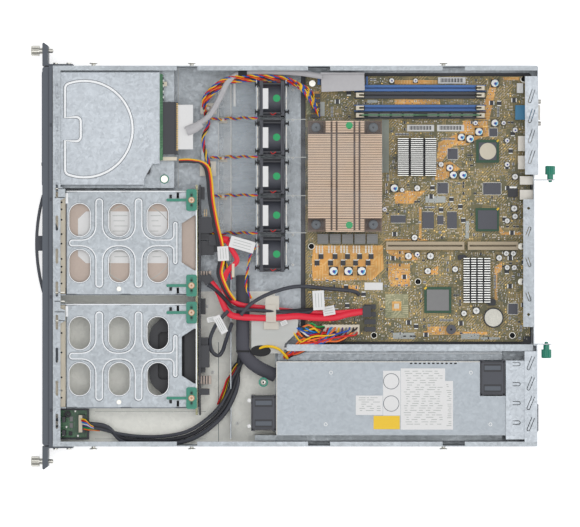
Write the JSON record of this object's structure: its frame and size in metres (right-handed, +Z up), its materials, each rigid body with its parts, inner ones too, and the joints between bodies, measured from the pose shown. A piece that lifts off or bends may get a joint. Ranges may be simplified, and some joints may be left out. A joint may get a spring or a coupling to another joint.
{
  "type": "rack server",
  "caption": "Low rack-mount computer with its top cover off: drive bays and optical slot in front, a fan row, mainboard with copper heat sink, and a power supply along one side.",
  "frame": {"origin": "centre of the underside of the chassis floor, midway between the side walls and 14.7 mm in front of the middle of the overall depth", "axes": "+X to the right as seen from the front, +Y from the front bezel to the rear panel, +Z up"},
  "size_m": [0.4826, 0.5935, 0.043],
  "materials": {
    "galvanised_steel": "galvanised sheet, fine crystal pattern",
    "nickel_steel": "nickel plated, turned",
    "slate_plastic": "fine moulded texture",
    "slate_metal": "powder coated",
    "green_plastic": "smooth moulded",
    "button_plastic": "smooth moulded",
    "green_board": "solder mask with copper pads",
    "olive_board": "solder mask with copper pads",
    "carrier_plastic": "moulded tray and front",
    "drive_metal": "cast, with a bare label area",
    "dark_plastic": "fine moulded texture",
    "drive_cover": "pressed cover",
    "fan_plastic": "moulded",
    "clear_film": "clear bent film",
    "black_film": "smooth film",
    "copper": "bare copper fins, lightly tarnished",
    "bare_aluminium": "extruded or drawn",
    "socket_plastic": "moulded",
    "latch_plastic": "moulded",
    "chip_plastic": "moulded packages",
    "connector_plastic": "moulded",
    "port_shell": "pressed shells",
    "supply_case": "plated sheet case",
    "ribbon_skin": "soft jacket",
    "red_cable": "soft jacket",
    "black_cable": "soft jacket and sleeve"
  },
  "bodies": {
    "server": {"base_pan": "galvanised_steel", "rear_panel": "galvanised_steel", "expansion_bracket": "galvanised_steel", "front_frame": "galvanised_steel", "inner_walls": "galvanised_steel", "rail_studs": "nickel_steel", "front_bezel": "slate_plastic", "rack_ears": "slate_metal", "front_io_board": "green_board", "drive_cages": "galvanised_steel", "backplane": "olive_board", "optical_bracket": "galvanised_steel", "optical_drive": "drive_cover", "optical_adapter": "green_board", "fan_bracket": "galvanised_steel", "fan_frames": "fan_plastic", "air_duct": "clear_film", "board_insulator": "black_film", "motherboard": "olive_board", "cpu_heatsink": "copper", "chipset_heatsinks": "bare_aluminium", "memory_sockets": "socket_plastic", "memory_module": "green_board", "capacitors": "bare_aluminium", "board_chips": "chip_plastic", "coin_cell": "nickel_steel", "board_connectors": "connector_plastic", "rear_ports": "port_shell", "psu_case": "supply_case", "ribbon_cable": "ribbon_skin", "data_cables": "red_cable", "power_harness": "black_cable", "panel_cable": "black_cable", "screws": "nickel_steel"},
    "tray": {"optical_tray": "dark_plastic"},
    "eject": {"eject_button": "button_plastic"},
    "carrier": {"drive_carrier": "carrier_plastic", "hard_drive": "drive_metal"},
    "handle": {"carrier_handle": "dark_plastic"},
    "blank": {"drive_blank": "dark_plastic"},
    "power_key": {"power_button": "button_plastic"},
    "reset_key": {"reset_button": "button_plastic"},
    "latches_front": {"front_latches": "latch_plastic"},
    "latches_rear": {"rear_latches": "latch_plastic"},
    "rack_screw_left": {"left_rack_screw": "nickel_steel"},
    "rack_screw_right": {"right_rack_screw": "nickel_steel"},
    "rear_screw_left": {"left_rear_screw": "green_plastic"},
    "rear_screw_right": {"right_rear_screw": "green_plastic"},
    "rotor_psu_front": {"psu_rotor_front": "fan_plastic"},
    "rotor_psu_rear": {"psu_rotor_rear": "fan_plastic"},
    "rotor_1": {"fan_rotor_1": "fan_plastic"},
    "rotor_2": {"fan_rotor_2": "fan_plastic"},
    "rotor_3": {"fan_rotor_3": "fan_plastic"},
    "rotor_4": {"fan_rotor_4": "fan_plastic"},
    "rotor_5": {"fan_rotor_5": "fan_plastic"},
    "clip_arm_1": {"clip_1": "green_plastic"},
    "clip_arm_2": {"clip_2": "green_plastic"},
    "clip_arm_3": {"clip_3": "green_plastic"},
    "clip_arm_4": {"clip_4": "green_plastic"}
  },
  "joints": [
    {"name": "fan_1_spin", "type": "hinge", "parent": "server", "child": "rotor_1", "pos_m": [-0.1782, -0.0206, 0.022], "axis": [0, 1, 0], "continuous": true},
    {"name": "fan_2_spin", "type": "hinge", "parent": "server", "child": "rotor_2", "pos_m": [-0.1342, -0.0206, 0.022], "axis": [0, 1, 0], "continuous": true},
    {"name": "fan_3_spin", "type": "hinge", "parent": "server", "child": "rotor_3", "pos_m": [-0.0902, -0.0206, 0.022], "axis": [0, 1, 0], "continuous": true},
    {"name": "fan_4_spin", "type": "hinge", "parent": "server", "child": "rotor_4", "pos_m": [-0.0462, -0.0206, 0.022], "axis": [0, 1, 0], "continuous": true},
    {"name": "fan_5_spin", "type": "hinge", "parent": "server", "child": "rotor_5", "pos_m": [-0.0022, -0.0206, 0.022], "axis": [0, 1, 0], "continuous": true},
    {"name": "psu_front_fan_spin", "type": "hinge", "parent": "server", "child": "rotor_psu_front", "pos_m": [0.1774, -0.0302, 0.021], "axis": [0, 1, 0], "continuous": true},
    {"name": "psu_rear_fan_spin", "type": "hinge", "parent": "server", "child": "rotor_psu_rear", "pos_m": [0.1375, 0.2286, 0.021], "axis": [0, 1, 0], "continuous": true},
    {"name": "tray_slide", "type": "slide", "parent": "server", "child": "tray", "axis": [0, -1, 0], "range_m": [0, 0.118]},
    {"name": "eject_press", "type": "slide", "parent": "tray", "child": "eject", "axis": [0, 1, 0], "range_m": [0, 0.001], "stiffness_N_per_m": 300},
    {"name": "carrier_slide", "type": "slide", "parent": "server", "child": "carrier", "axis": [0, -1, 0], "range_m": [0, 0.17]},
    {"name": "handle_swing", "type": "hinge", "parent": "carrier", "child": "handle", "pos_m": [-0.0672, -0.2766, 0.019], "axis": [0, 0, -1], "range_deg": [0, 60]},
    {"name": "blank_slide", "type": "slide", "parent": "server", "child": "blank", "axis": [0, -1, 0], "range_m": [0, 0.17]},
    {"name": "power_press", "type": "slide", "parent": "server", "child": "power_key", "axis": [0, 1, 0], "range_m": [0, 0.001], "stiffness_N_per_m": 400},
    {"name": "reset_press", "type": "slide", "parent": "server", "child": "reset_key", "axis": [0, 1, 0], "range_m": [0, 0.001], "stiffness_N_per_m": 400},
    {"name": "front_latches_tilt", "type": "hinge", "parent": "server", "child": "latches_front", "pos_m": [-0.1748, 0.08, 0.013], "axis": [1, 0, 0], "range_deg": [0, 25]},
    {"name": "rear_latches_tilt", "type": "hinge", "parent": "server", "child": "latches_rear", "pos_m": [-0.1748, 0.2145, 0.013], "axis": [-1, 0, 0], "range_deg": [0, 25]},
    {"name": "clip_1_swing", "type": "hinge", "parent": "server", "child": "clip_arm_1", "pos_m": [-0.0633, -0.1115, 0.0395], "axis": [0, 0, -1], "range_deg": [0, 10]},
    {"name": "clip_2_swing", "type": "hinge", "parent": "server", "child": "clip_arm_2", "pos_m": [0.0333, -0.1115, 0.0395], "axis": [0, 0, 1], "range_deg": [0, 10]},
    {"name": "clip_3_swing", "type": "hinge", "parent": "server", "child": "clip_arm_3", "pos_m": [0.0638, -0.1115, 0.0395], "axis": [0, 0, -1], "range_deg": [0, 10]},
    {"name": "clip_4_swing", "type": "hinge", "parent": "server", "child": "clip_arm_4", "pos_m": [0.1604, -0.1115, 0.0395], "axis": [0, 0, 1], "range_deg": [0, 10]},
    {"name": "left_rack_screw_turn", "type": "hinge", "parent": "server", "child": "rack_screw_left", "pos_m": [-0.23255, -0.28, 0.0215], "axis": [0, 1, 0], "continuous": true},
    {"name": "right_rack_screw_turn", "type": "hinge", "parent": "server", "child": "rack_screw_right", "pos_m": [0.23255, -0.28, 0.0215], "axis": [0, 1, 0], "continuous": true},
    {"name": "left_rear_screw_turn", "type": "hinge", "parent": "server", "child": "rear_screw_left", "pos_m": [-0.0866, 0.2939, 0.033], "axis": [1, 0, 0], "continuous": true},
    {"name": "right_rear_screw_turn", "type": "hinge", "parent": "server", "child": "rear_screw_right", "pos_m": [0.1, 0.2896, 0.033], "axis": [1, 0, 0], "continuous": true}
  ]
}
